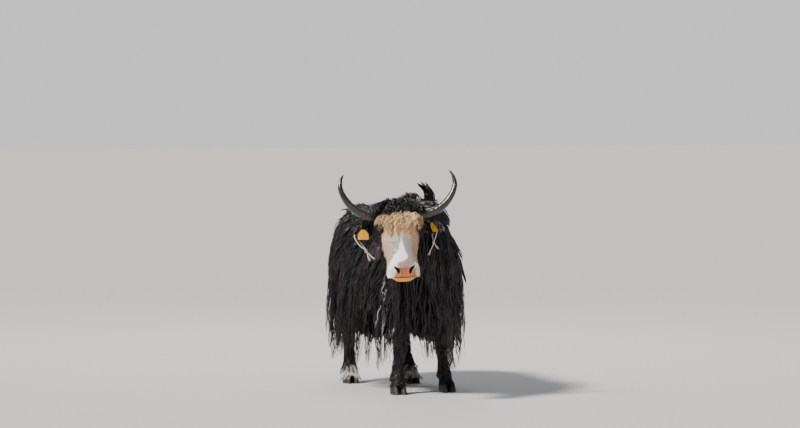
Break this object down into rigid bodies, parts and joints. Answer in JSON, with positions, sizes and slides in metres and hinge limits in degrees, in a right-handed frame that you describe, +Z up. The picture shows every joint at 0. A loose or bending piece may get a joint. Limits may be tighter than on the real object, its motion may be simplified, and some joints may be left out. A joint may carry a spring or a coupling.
{
  "type": "yak",
  "caption": "Long-haired domestic yak cow standing with head up and turned to her right, horned, pale-faced, with ear tags and ear strings.",
  "frame": {"origin": "on the ground under the middle of the bounding box", "axes": "+Z up, the yak faces -Y, +X is her left side"},
  "size_m": [0.9119, 1.7947, 1.1966],
  "materials": {
    "black_coat": "long, coarse, matt black hair",
    "pale_face": "short cream hair, pink-brown bare skin at the nose and lips",
    "horn": "dark, softly polished horn",
    "hoof": "worn dark hoof horn",
    "eye": "wet, dark brown",
    "tag_yellow": "satin moulded plastic",
    "string": "soft twisted wool"
  },
  "bodies": {
    "root": {"torso": "black_coat", "neck": "black_coat", "tail": "black_coat", "leg_front_left": "black_coat", "leg_front_right": "black_coat", "leg_hind_left": "black_coat", "leg_hind_right": "black_coat", "ear_left": "black_coat", "ear_right": "black_coat", "head": "pale_face", "horn_left": "horn", "horn_right": "horn", "claw_front_left_left": "hoof", "claw_front_left_right": "hoof", "claw_front_right_left": "hoof", "claw_front_right_right": "hoof", "claw_hind_left_left": "hoof", "claw_hind_left_right": "hoof", "claw_hind_right_left": "hoof", "claw_hind_right_right": "hoof", "eye_left": "eye", "eye_right": "eye", "ear_tag_left": "tag_yellow", "ear_tag_right": "tag_yellow", "ear_string_front_left": "string", "ear_string_back_left": "string", "ear_string_knot_left": "string", "ear_string_front_right": "string", "ear_string_back_right": "string", "ear_string_knot_right": "string"}
  },
  "joints": []
}
